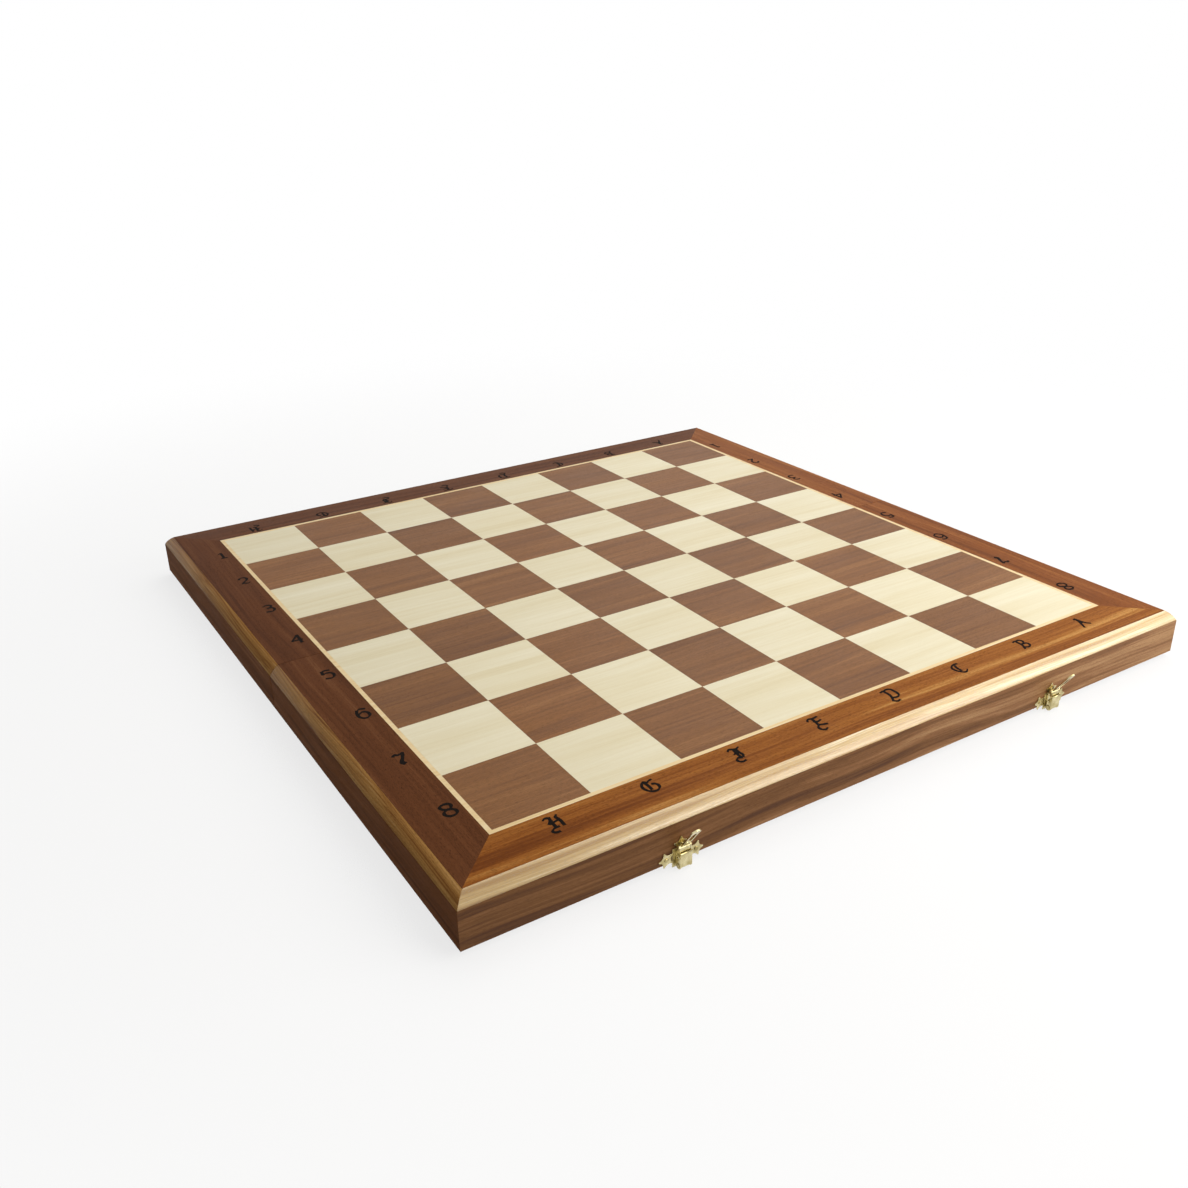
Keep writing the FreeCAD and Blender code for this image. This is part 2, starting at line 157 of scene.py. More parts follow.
def grain_space(tree, along, slant, start, wave, cell):
    """Position in millimetres with X along the grain, bent in slow waves, shifted square by square."""
    place = add(tree, "ShaderNodeTexCoord").outputs["Object"]
    turn = math.radians(slant) + (math.pi / 2 if along == "Y" else 0.0)
    spot = add(tree, "ShaderNodeMapping", {"Vector": place, "Rotation": (0, 0, -turn),
                                           "Scale": (1 / MM,) * 3, "Location": start}).outputs["Vector"]
    chance = None
    if cell:
        size, origin = cell
        shifted = vector(tree, "SUBTRACT", place, origin)
        index = vector(tree, "FLOOR", vector(tree, "MULTIPLY", shifted, (1 / size, 1 / size, 0)))
        dice = add(tree, "ShaderNodeTexWhiteNoise", {"Vector": index}, noise_dimensions="3D")
        chance = dice.outputs["Value"]
        spot = vector(tree, "ADD", spot, vector(tree, "MULTIPLY", dice.outputs["Color"], LEAF_JUMP))
    slow = vector(tree, "MULTIPLY", spot, (1 / SWAY_LENGTH, 1 / SWAY_WIDTH, 1 / SWAY_WIDTH))
    sway = add(tree, "ShaderNodeTexNoise", {"Vector": slow, "Scale": 1.0, "Detail": 1.0}).outputs["Color"]
    bend = vector(tree, "MULTIPLY", vector(tree, "SUBTRACT", sway, (0.5, 0.5, 0.5)), (0, wave, wave))
    return vector(tree, "ADD", spot, bend), chance


def streaks(tree, spot, length, width, detail=2.0, rough=0.55):
    """Noise drawn out along the grain: features about length by width, in millimetres."""
    drawn = vector(tree, "MULTIPLY", spot, (1 / length, 1 / width, 1 / width))
    return add(tree, "ShaderNodeTexNoise", {"Vector": drawn, "Scale": 1.0, "Detail": detail,
                                            "Roughness": rough}).outputs["Fac"]


# %% Wood finish
HALF_BOARD = 270.0
# Where the ribbon's painted shade at the left turns to painted light at the right, in millimetres.
HEART_PAINTED_SHADE_X = -200.0
HEART_PAINTED_LIGHT_X = 60.0
TONE_FIRST = 0.34
TONE_SPAN = 0.32
PIT_EDGE = 0.54
PIT_FLOOR = 0.66
PIT_DARKNESS = 0.35
PIT_ROUGHER = 0.12
HAZE_LENGTH = 40.0
HAZE_WIDTH = 18.0
HAZE_SWING = 0.12
GRAIN_STRENGTH = 0.3
GRAIN_DEPTH = 0.05 * MM


def heart_ribbon(tree, parts, ribbon_and_light):
    """One ribbon along the grain, dark at the left and turning pale to the right: painted shade at the left
    and painted light at the right.
    """
    middle, half_width, depth = ribbon_and_light
    off = maths(tree, "ABSOLUTE", maths(tree, "SUBTRACT", parts["Y"], middle))
    inside = add(tree, "ShaderNodeMapRange", {"Value": off, "From Max": half_width, "To Min": 1.0,
                                              "To Max": 0.0}, interpolation_type="SMOOTHSTEP")
    ends = add(tree, "ShaderNodeMapRange", {"Value": parts["X"], "From Min": HEART_PAINTED_SHADE_X,
                                            "From Max": HEART_PAINTED_LIGHT_X, "To Min": -depth, "To Max": depth})
    return inside.outputs["Result"], ends.outputs["Result"]


def wood(name, along, tones, figure, pore, slant=0.0, start=(0, 0, 0), wave=8.0, cell=None, swing=0.0,
         gloss=0.42, lacquer=0.12, ribbon_and_light=None, painted_light_drift=0.0):
    """Lacquered wood. Tones run from dark to pale, figure lists streaks as (length, width, weight), and
    pore is (length, width, strength). A ribbon along the grain is given as (middle across the grain, half
    width, depth), and its tone runs from painted shade at the left to painted light at the right. The last
    argument is painted light that makes all of the wood paler to the right."""
    material, tree, shader = blank(name)
    spot, chance = grain_space(tree, along, slant, start, wave, cell)
    parts = add(tree, "ShaderNodeSeparateXYZ", {0: spot}).outputs
    # Painted light: the wood grows paler towards the lamp at the right.
    total = maths(tree, "MULTIPLY", parts["X"], painted_light_drift / HALF_BOARD)
    # A ribbon of figure whose tone runs from painted shade at the left to painted light at the right.
    if ribbon_and_light:
        inside, ends = heart_ribbon(tree, parts, ribbon_and_light)
        total = maths(tree, "MULTIPLY_ADD", inside, ends, total)
    for length, width, weight in figure:
        total = maths(tree, "MULTIPLY_ADD", streaks(tree, spot, length, width), weight, total)
    last = len(tones) - 1
    stops = [(TONE_FIRST + TONE_SPAN * i / last, shade(tone)) for i, tone in enumerate(tones)]
    colour = ramp(tree, total, stops)
    length, width, strength = pore
    pores = streaks(tree, spot, length, width, detail=1.0, rough=0.4)
    pits = ramp(tree, pores, [(PIT_EDGE, grey(0.0)), (PIT_FLOOR, grey(1.0))])
    deep = [PIT_DARKNESS * part for part in shade(tones[0])[:3]] + [1.0]
    colour = blend_colour(tree, maths(tree, "MULTIPLY", pits, strength), colour, deep)
    if chance:
        lift = maths(tree, "MULTIPLY_ADD", chance, swing, 1.0 - swing / 2)
        colour = add(tree, "ShaderNodeHueSaturation", {"Value": lift, "Color": colour}).outputs["Color"]
    tree.links.new(colour, shader.inputs["Base Color"])
    haze = streaks(tree, spot, HAZE_LENGTH, HAZE_WIDTH)
    rough = maths(tree, "MULTIPLY_ADD", haze, HAZE_SWING, gloss - HAZE_SWING / 2)
    rough = maths(tree, "MULTIPLY_ADD", pits, PIT_ROUGHER, rough)
    tree.links.new(rough, shader.inputs["Roughness"])
    relief = maths(tree, "SUBTRACT", total, pits)
    bump = add(tree, "ShaderNodeBump", {"Height": relief, "Strength": GRAIN_STRENGTH,
                                        "Distance": GRAIN_DEPTH})
    tree.links.new(bump.outputs["Normal"], shader.inputs["Normal"])
    shader.inputs["Specular IOR Level"].default_value = lacquer
    return material


def finish(node, material):
    """Gives a solid one material."""
    mesh = nodes[node].data
    mesh.materials.clear()
    mesh.materials.append(material)


# %% [markdown]
# ## Veneers
# The squares are laid with their grain along the letter edges. The dark ones are a brown mahogany, the
# pale ones maple with hardly any figure. The string line is the same pale wood, a little warmer. Each of
# the squares could have a material of its own, but one for each colour and half is enough, because the
# pattern jumps at the square's edge.

# %% Squares and string
DARK = ("643c18", "794c21", "855628", "946536")
PALE = ("dfd2ac", "e5dab8", "e9e0c2", "eee6cb")
STRING = ("e2c48e", "ecd2a0", "f0dbb0")
DARK_FIGURE = ((240, 14, 0.4), (120, 2.2, 0.35), (60, 0.6, 0.25))
PALE_FIGURE = ((200, 16, 0.5), (90, 3.0, 0.3), (50, 0.7, 0.2))
STRING_FIGURE = ((90, 3.0, 0.6), (60, 0.8, 0.4))
DARK_PORES = (2.4, 0.18, 0.45)
PALE_PORES = (3.0, 0.2, 0.04)
DARK_SLANT = 1.0
PALE_SLANT = -0.8
DARK_SWING = 0.16
PALE_SWING = 0.03
SQUARE_LACQUER = 0.15
for half in HALVES:
    first_y = fold_y + (half_gap if half == "rear" else -half_gap)
    cell = (square, (0.0, first_y, 0.0))
    dark = wood(f"dark_veneer_{half}", "X", DARK, DARK_FIGURE, DARK_PORES, slant=DARK_SLANT, cell=cell,
                swing=DARK_SWING, lacquer=SQUARE_LACQUER)
    pale = wood(f"light_veneer_{half}", "X", PALE, PALE_FIGURE, PALE_PORES, slant=PALE_SLANT, cell=cell,
                swing=PALE_SWING, lacquer=SQUARE_LACQUER)
    string = wood(f"string_{half}", "X", STRING, STRING_FIGURE, PALE_PORES)
    finish(f"{half}_dark_squares", dark)
    finish(f"{half}_light_squares", pale)
    finish(f"{half}_string_line", string)
    print(half, "field:", dark.name, pale.name, string.name)

# %% [markdown]
# ## Border
# The border is a redder mahogany with wide ribbons, cut so that its grain follows each side and meets at a
# mitre. The near strip is golden, with painted light that makes it paler to the right and a ribbon whose
# tone runs from painted shade at the left to painted light at the right. Those at the right are red-brown,
# and the others are darker; at the left this darkness is painted shade for the side turned from the lamps.
# All strips could share one material, but then the grain of two strips would run on as if they were one
# plank, so each has its own and starts at another place in the pattern.

# %% Border
GOLDEN = ("6e390d", "894e19", "9f6226", "c08a49")
RED_BROWN = ("6b3a16", "82491f", "905527", "a96f3c")
# On the left strips these darker tones are painted shade, for the side turned from the lamps.
DARK_BROWN = ("4c2914", "5c351c", "673d22", "744a2d")
BORDER = {"front_outer": GOLDEN, "front_right": RED_BROWN, "rear_right": RED_BROWN}
EDGES = {"outer": "X", "left": "Y", "right": "Y"}
RIBBON = ((320, 7.0, 0.5), (170, 1.9, 0.34), (70, 0.5, 0.16))
RIBBON_PORES = (2.2, 0.2, 0.55)
BORDER_LACQUER = {"outer": 0.035, "left": 0.02, "right": 0.035}
BORDER_JUMP = (70.0, 31.0, 7.0)
# Painted light on the near strip: paler to the right, towards the lamp.
BORDER_PAINTED_LIGHT = 0.02
HEART_INSET = 12 * MM
HEART_HALF_WIDTH = 9.0
# How strongly the ribbon turns from painted shade to painted light.
HEART_PAINTED_LIGHT_DEPTH = 0.11
heart_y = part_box("front_outer_border")[0][1] + HEART_INSET


def cut_from(jump, half_index, edge_index):
    """Where in the plank a strip starts, in millimetres."""
    return (jump[0] * half_index, jump[1] * edge_index, jump[2] * half_index)


for half_index, half in enumerate(HALVES):
    for edge_index, (edge, along) in enumerate(EDGES.items()):
        tones = BORDER.get(f"{half}_{edge}", DARK_BROWN)
        # On the near strip only: a ribbon of painted shade and light, and painted light that pales it to
        # the right.
        ribbon_and_light = (heart_y / MM, HEART_HALF_WIDTH, HEART_PAINTED_LIGHT_DEPTH) if tones is GOLDEN else None
        painted_light_drift = BORDER_PAINTED_LIGHT if tones is GOLDEN else 0.0
        strip = wood(f"border_{half}_{edge}", along, tones, RIBBON, RIBBON_PORES,
                     start=cut_from(BORDER_JUMP, half_index, edge_index), lacquer=BORDER_LACQUER[edge],
                     ribbon_and_light=ribbon_and_light, painted_light_drift=painted_light_drift)
        finish(f"{half}_{edge}_border", strip)
print("border strips finished:", len(HALVES) * len(EDGES))

# %% [markdown]
# ## Walls, moulding and cores
# The walls are a browner wood with dark stripes that run a little across the board. The moulding is ash:
# pale, with long open pores and now and then a brown streak. Under the veneer lies plain plywood. Each wood
# could have a node tree of its own design, but all of them are the same finish with other numbers. The
# walls and mouldings at the left and right share darker tones, which are painted shade for the left side,
# turned from the lamps. The near wall and its moulding grow paler to the right as painted light.

# %% Walls, moulding and cores
# The Y tones, for the left and right walls and mouldings, are darker copies: painted shade for the left
# side, turned from the lamps.
WALL_LIT_AND_SHADED = {"X": ("573620", "744d2b", "8c613d", "ad845b"), "Y": ("593217", "714423", "7d4d2a", "8c5c37")}
ASH_LIT_AND_SHADED = {"X": ("b18a50", "c8a468", "d8ba82", "ead6ac"), "Y": ("7c4f25", "a6743d", "b8884c", "c89c63")}
PLY = ("a8814f", "bf9a66", "cfae7d")
STRIPES = ((320, 6.5, 0.52), (180, 2.0, 0.32), (70, 0.5, 0.16))
ASH_FIGURE = ((200, 2.6, 0.5), (110, 0.8, 0.5))
PLY_FIGURE = ((80, 3.0, 1.0),)
WALL_PORES = (2.4, 0.18, 0.3)
ASH_PORES = (2.2, 0.2, 0.4)
PLY_PORES = (4.0, 0.2, 0.2)
WALL_LACQUER = {"X": 0.15, "Y": 0.004}
ASH_LACQUER = {"X": 1.0, "Y": 0.02}
WALL_GLOSS = 0.46
ASH_GLOSS = 0.24
PLY_GLOSS = 0.6
WALL_WAVE = 14.0
WALL_JUMP = (110.0, 43.0, 17.0)
# Painted light on the near wall and its moulding: paler to the right, towards the lamp.
NEAR_WALL_PAINTED_LIGHT = 0.08
for half_index, half in enumerate(HALVES):
    for edge_index, (edge, along) in enumerate({**EDGES, "spine": "X"}.items()):
        start = cut_from(WALL_JUMP, half_index, edge_index)
        painted_light_drift = NEAR_WALL_PAINTED_LIGHT if (half, edge) == ("front", "outer") else 0.0
        rail = wood(f"wall_{half}_{edge}", along, WALL_LIT_AND_SHADED[along], STRIPES, WALL_PORES, start=start,
                    wave=WALL_WAVE, gloss=WALL_GLOSS, lacquer=WALL_LACQUER[along], painted_light_drift=painted_light_drift)
        finish(f"{half}_{edge}_wall", rail)
        if edge != "spine":
            strip = wood(f"moulding_{half}_{edge}", along, ASH_LIT_AND_SHADED[along], ASH_FIGURE, ASH_PORES, start=start,
                         gloss=ASH_GLOSS, lacquer=ASH_LACQUER[along], painted_light_drift=painted_light_drift)
            finish(f"{half}_{edge}_moulding", strip)
    finish(f"{half}_panel_core", wood(f"core_{half}", "X", PLY, PLY_FIGURE, PLY_PORES, gloss=PLY_GLOSS))
print("walls, mouldings and cores finished:", len(HALVES) * (2 * len(EDGES) + 2))

# %% [markdown]
# ## Brass
# The latches, keepers and hinges are thin pressed brass. It is bright where fingers rub it and duller
# elsewhere. Wear could be painted on by hand, but the parts are small, so it is enough that the roughness
# and the colour both wander a little.

# %% Brass
CLOUD_SCALE = 260.0
BRUSH_SCALE = 2600.0
DULL_CLOUD = 0.35
BRIGHT_CLOUD = 0.62
RUBBED = -0.2
UNRUBBED = 0.12
BRUSH_STRENGTH = 0.2
BRUSH_DEPTH = 0.04 * MM


def brass(name, bright, dull, gloss):
    """Worn brass between two tones."""
    material, tree, shader = blank(name)
    place = add(tree, "ShaderNodeTexCoord").outputs["Object"]
    cloud = add(tree, "ShaderNodeTexNoise", {"Vector": place, "Scale": CLOUD_SCALE, "Detail": 4.0})
    brushed = add(tree, "ShaderNodeTexNoise", {"Vector": place, "Scale": BRUSH_SCALE, "Detail": 2.0})
    wear = cloud.outputs["Fac"]
    metal = ramp(tree, wear, [(DULL_CLOUD, shade(dull)), (BRIGHT_CLOUD, shade(bright))])
    tree.links.new(metal, shader.inputs["Base Color"])
    rough = maths(tree, "ADD", maths(tree, "MULTIPLY", wear, RUBBED), gloss + UNRUBBED)
    tree.links.new(rough, shader.inputs["Roughness"])
    bump = add(tree, "ShaderNodeBump", {"Height": brushed.outputs["Fac"], "Strength": BRUSH_STRENGTH,
                                        "Distance": BRUSH_DEPTH})
    tree.links.new(bump.outputs["Normal"], shader.inputs["Normal"])
    shader.inputs["Metallic"].default_value = 1.0
    return material


# %% Latches, hinges and nails
PRESSED = ("latch_plate", "latch_lever", "latch_tongue", "keeper")
TURNED = ("latch_rivets", "tongue_pin", "hinge_pin")
NAILS = ("latch_nails", "keeper_nails")
latch_brass = brass("latch_brass", "dcd0a4", "b8aa78", gloss=0.26)
hinge_brass = brass("hinge_brass", "d8c592", "bfab74", gloss=0.3)
screw_brass = brass("screw_brass", "9c8850", "6e5d36", gloss=0.34)
nail_brass = brass("nail_brass", "cbbd8c", "9c8c5c", gloss=0.3)
for side in SIDES:
    for part in PRESSED:
        finish(f"{side}_{part}", latch_brass)
    for part in TURNED:
        finish(f"{side}_{part}", nail_brass)
    for half in HALVES:
        finish(f"{side}_hinge_{half}_leaf", hinge_brass)
for name in NAILS:
    finish(name, nail_brass)
print("brass pieces finished:", len(SIDES) * (len(PRESSED) + len(TURNED) + len(HALVES)) + len(NAILS))

# %% [markdown]
# ## Eased edges
# Nothing that is sanded or pressed has a knife edge. The edges could be cut again by hand, but modifiers
# leave the solids as they are. The solids come as loose triangles, so a Weld joins them first and a
# Decimate clears the lines inside each flat face. A Bevel can then ease every sharp edge by a fraction of
# a millimetre without pulling at stray triangles. A last Weld closes the slivers that it leaves at corners.

# %% Ease the edges
JOIN_REACH = 1e-6
CLOSE_REACH = 2e-6
FLAT_ANGLE = math.radians(0.5)
SHARP_ANGLE = math.radians(35)
WALL_EASE = 0.35 * MM
MOULDING_EASE = 0.3 * MM
PRESSED_EASE = 0.12 * MM
PIN_EASE = 0.2 * MM
LEAF_EASE = 0.1 * MM
NAIL_EASE = 0.24 * MM


def ease(node, width, segments=2):
    """Rounds the sharp edges of a solid with modifiers."""
    weld = nodes[node].modifiers.new("weld", "WELD")
    weld.merge_threshold = JOIN_REACH
    clear = nodes[node].modifiers.new("clear", "DECIMATE")
    clear.decimate_type = "DISSOLVE"
    clear.angle_limit = FLAT_ANGLE
    bevel = nodes[node].modifiers.new("ease", "BEVEL")
    bevel.width = width
    bevel.segments = segments
    bevel.limit_method = "ANGLE"
    bevel.angle_limit = SHARP_ANGLE
    bevel.use_clamp_overlap = True
    close = nodes[node].modifiers.new("close", "WELD")
    close.merge_threshold = CLOSE_REACH


for half in HALVES:
    for edge in (*EDGES, "spine"):
        ease(f"{half}_{edge}_wall", WALL_EASE)
    for edge in EDGES:
        ease(f"{half}_{edge}_moulding", MOULDING_EASE)
for side in SIDES:
    for part in PRESSED:
        ease(f"{side}_{part}", PRESSED_EASE)
    ease(f"{side}_tongue_pin", PIN_EASE)
    for half in HALVES:
        ease(f"{side}_hinge_{half}_leaf", LEAF_EASE)
for name in NAILS:
    ease(name, NAIL_EASE, segments=3)
print("solids with eased edges:", sum("ease" in obj.modifiers for obj in nodes.values()))

# %% [markdown]
# ## Hinge screws
# Two countersunk wood screws hold each hinge leaf. The solids are plain cones, and a real head has a slot
# for the driver. It could be cut with a Boolean, but the cap is flat, so two straight cuts across it leave
# a strip that can simply be pushed in. `piece` turns such a mesh into an object that rides on a body, and
# `gather` collects many small meshes in one.

# %% Helpers: new pieces
def piece(name, mesh_maker, body, material):
    """New object from a bmesh, riding on a body."""
    mesh = bpy.data.meshes.new(name)
    mesh_maker.to_mesh(mesh)
    mesh_maker.free()
    mesh.materials.append(material)
    obj = bpy.data.objects.new(name, mesh)
    bpy.context.scene.collection.objects.link(obj)
    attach(obj, body)
    return obj


def gather(group, part):
    """Moves one bmesh into another."""
    mesh = bpy.data.meshes.new("part")
    part.to_mesh(mesh)
    part.free()
    group.from_mesh(mesh)
    bpy.data.meshes.remove(mesh)


def corners(node):
    """Low and high corner of a solid's box."""
    low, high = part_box(node)
    return Vector(low), Vector(high)


# %% Slotted screws
LEAF_THICK = 1.0 * MM
SHANK_SHARE = 0.5
SLOT_WIDTH = 0.55 * MM
SLOT_DEPTH = 0.5 * MM
SLOT_TAPER = 0.75
SCREW_SEGMENTS = 32
CAP_HEIGHT = 0.01 * MM


def cap_faces(screw):
    """The flat faces of the head, at the bottom."""
    return [face for face in screw.faces if face.calc_center_median().z < CAP_HEIGHT]


def slotted_screw(head_radius, length):
    """A countersunk screw that stands on its head, with the slot along X underneath."""
    screw = bmesh.new()
    middle = Matrix.Translation((0, 0, LEAF_THICK / 2))
    bmesh.ops.create_cone(screw, cap_ends=True, segments=SCREW_SEGMENTS, radius1=head_radius,
                          radius2=SHANK_SHARE * head_radius, depth=LEAF_THICK, matrix=middle)
    top = max(screw.faces, key=lambda face: face.calc_center_median().z)
    shank = bmesh.ops.extrude_discrete_faces(screw, faces=[top])["faces"][0]
    bmesh.ops.translate(screw, vec=(0, 0, length - LEAF_THICK), verts=shank.verts[:])
    for hand in (-1, 1):
        cap = cap_faces(screw)
        rim = dict.fromkeys(edge for face in cap for edge in face.edges)
        ring = dict.fromkeys(vert for face in cap for vert in face.verts)
        bmesh.ops.bisect_plane(screw, geom=[*ring, *rim, *cap], plane_no=(0, 1, 0),
                               plane_co=(0, hand * SLOT_WIDTH / 2, 0))
    strip = min(cap_faces(screw), key=lambda face: abs(face.calc_center_median().y))
    slot = bmesh.ops.extrude_discrete_faces(screw, faces=[strip])["faces"][0]
    bmesh.ops.translate(screw, vec=(0, 0, SLOT_DEPTH), verts=slot.verts[:])
    bmesh.ops.scale(screw, vec=(SLOT_TAPER, 1, 1), verts=slot.verts[:])
    bmesh.ops.recalc_face_normals(screw, faces=screw.faces[:])
    return screw


# %% Drive the screws
# Degrees, so that the two slots of a hinge leaf stop at different angles.
DRIVEN_TURN = 35
DRIVEN_BY_SIDE = 80
DRIVEN_BY_HAND = 50
for half in HALVES:
    low, high = corners(f"{half}_hinge_screws")
    head_radius = (high.y - low.y) / 2
    screws = bmesh.new()
    for side_index, side in enumerate(SIDES):
        leaf_low, leaf_high = corners(f"{side}_hinge_{half}_leaf")
        middle = (leaf_low.x + leaf_high.x) / 2
        reach = high.x - head_radius - abs(middle)
        for hand in (-1, 1):
            screw = slotted_screw(head_radius, high.z - low.z)
            spot = Matrix.Translation((middle + hand * reach, (low.y + high.y) / 2, low.z))
            stopped = math.radians(DRIVEN_TURN + DRIVEN_BY_SIDE * side_index + DRIVEN_BY_HAND * hand)
            turn = Matrix.Rotation(stopped, 4, "Z")
            bmesh.ops.transform(screw, matrix=spot @ turn, verts=screw.verts[:])
            gather(screws, screw)
    driven = piece(f"{half}_screws", screws, f"{half}_half", screw_brass)
    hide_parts(f"{half}_hinge_screws")
    print(driven.name, len(driven.data.polygons), "faces, heads", round(2 * head_radius / MM, 2), "mm")

# %% [markdown]
# ## Felt
# Each tray is lined with green felt, glued flat under its panel, and four small felt pads stand under the
# rims. Felt has no weave: it is a mat of fibres, so the colour is broken up finely and the edge of a pad is
# soft. The fibres could be grown as hair, but they are too short to show as more than a rough surface.

# %% Felt finish
FIBRE_SCALE = 1500.0
PATCH_SCALE = 60.0
FIBRE_SHARE = 0.7
PATCH_SHARE = 0.3
DARK_FIBRE = 0.35
PALE_FIBRE = 0.66
FIBRE_STRENGTH = 0.6
FIBRE_DEPTH = 0.2 * MM
FELT_ROUGHNESS = 0.95
FELT_SHEEN = 0.4


def felt(name, dark, pale):
    """Matted fibres between two tones."""
    material, tree, shader = blank(name)
    place = add(tree, "ShaderNodeTexCoord").outputs["Object"]
    fibre = add(tree, "ShaderNodeTexNoise", {"Vector": place, "Scale": FIBRE_SCALE, "Detail": 5.0,
                                             "Roughness": 0.7}).outputs["Fac"]
    patch = add(tree, "ShaderNodeTexNoise", {"Vector": place, "Scale": PATCH_SCALE, "Detail": 3.0})
    fine = maths(tree, "MULTIPLY", fibre, FIBRE_SHARE)
    mixed = maths(tree, "ADD", fine, maths(tree, "MULTIPLY", patch.outputs["Fac"], PATCH_SHARE))
    tone = ramp(tree, mixed, [(DARK_FIBRE, shade(dark)), (PALE_FIBRE, shade(pale))])
    tree.links.new(tone, shader.inputs["Base Color"])
    bump = add(tree, "ShaderNodeBump", {"Height": fibre, "Strength": FIBRE_STRENGTH,
                                        "Distance": FIBRE_DEPTH})
    tree.links.new(bump.outputs["Normal"], shader.inputs["Normal"])
    shader.inputs["Roughness"].default_value = FELT_ROUGHNESS
    shader.inputs["Sheen Weight"].default_value = FELT_SHEEN
    return material


# %% Cut the felt
LINING_CELLS = (24, 12)
LINING_EASE = 0.4 * MM
PAD_SEGMENTS = 40
PAD_EASE = 0.7 * MM
CORNER_ANGLE = 1.0
LEVEL = 0.01 * MM


def lining_cloth(low, high):
    """A thick flat cloth that fills a box, with its lower rim eased."""
    size = high - low
    cloth = bmesh.new()
    bmesh.ops.create_grid(cloth, x_segments=LINING_CELLS[0], y_segments=LINING_CELLS[1], size=0.5)
    for vert in cloth.verts:
        x = low.x + (vert.co.x + 0.5) * size.x
        y = low.y + (vert.co.y + 0.5) * size.y
        vert.co = Vector((x, y, low.z))
    bmesh.ops.solidify(cloth, geom=cloth.faces[:], thickness=-size.z)
    bmesh.ops.recalc_face_normals(cloth, faces=cloth.faces[:])
    rim = [edge for edge in cloth.edges if edge.calc_face_angle(0.0) > CORNER_ANGLE
           and all(abs(vert.co.z - low.z) < LEVEL for vert in edge.verts)]
    bmesh.ops.bevel(cloth, geom=rim, offset=LINING_EASE, offset_type="OFFSET", segments=2, profile=0.5,
                    affect="EDGES", material=-1)
    return cloth


def pad_discs(low, high):
    """Two round pads at the ends of a box, with soft edges."""
    radius = (high.y - low.y) / 2
    discs = bmesh.new()
    for x in (low.x + radius, high.x - radius):
        spot = Matrix.Translation((x, (low.y + high.y) / 2, (low.z + high.z) / 2))
        made = bmesh.ops.create_cone(discs, cap_ends=True, segments=PAD_SEGMENTS, radius1=radius,
                                     radius2=radius, depth=high.z - low.z, matrix=spot)
        around = dict.fromkeys(edge for vert in made["verts"] for edge in vert.link_edges)
        rims = [edge for edge in around if edge.calc_face_angle(0.0) > CORNER_ANGLE]
        bmesh.ops.bevel(discs, geom=rims, offset=PAD_EASE, offset_type="OFFSET", segments=4, profile=0.5,
                        affect="EDGES", material=-1)
    return discs


# %% Linings and pads
lining_felt = felt("lining_felt", "0f3320", "1d5233")
pad_felt = felt("pad_felt", "241710", "3d2a1e")
for half in HALVES:
    body = f"{half}_half"
    low, high = corners(f"{half}_felt_lining")
    lining = piece(f"{half}_lining", lining_cloth(low, high), body, lining_felt)
    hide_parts(f"{half}_felt_lining")
    low, high = corners(f"{half}_felt_pads")
    pads = piece(f"{half}_pads", pad_discs(low, high), body, pad_felt)
    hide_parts(f"{half}_felt_pads")

# %% [markdown]
# ## Letters and numbers
# The files are marked A to H and the ranks 1 to 8 in an old black-letter hand, printed in black. Such
# letters were drawn with a broad pen held at one angle, so each stroke here is a smooth line turned into a
# ribbon: thick where the line runs across the nib, thin where it runs along it. A font would have been
# quicker, but none that comes with Blender has this hand. Places are millimetres from the middle of the
# letter. Where strokes meet, their faces would fall together and show specks, so each stroke rises by a few
# thousandths of a millimetre along its length, and the next one starts higher.

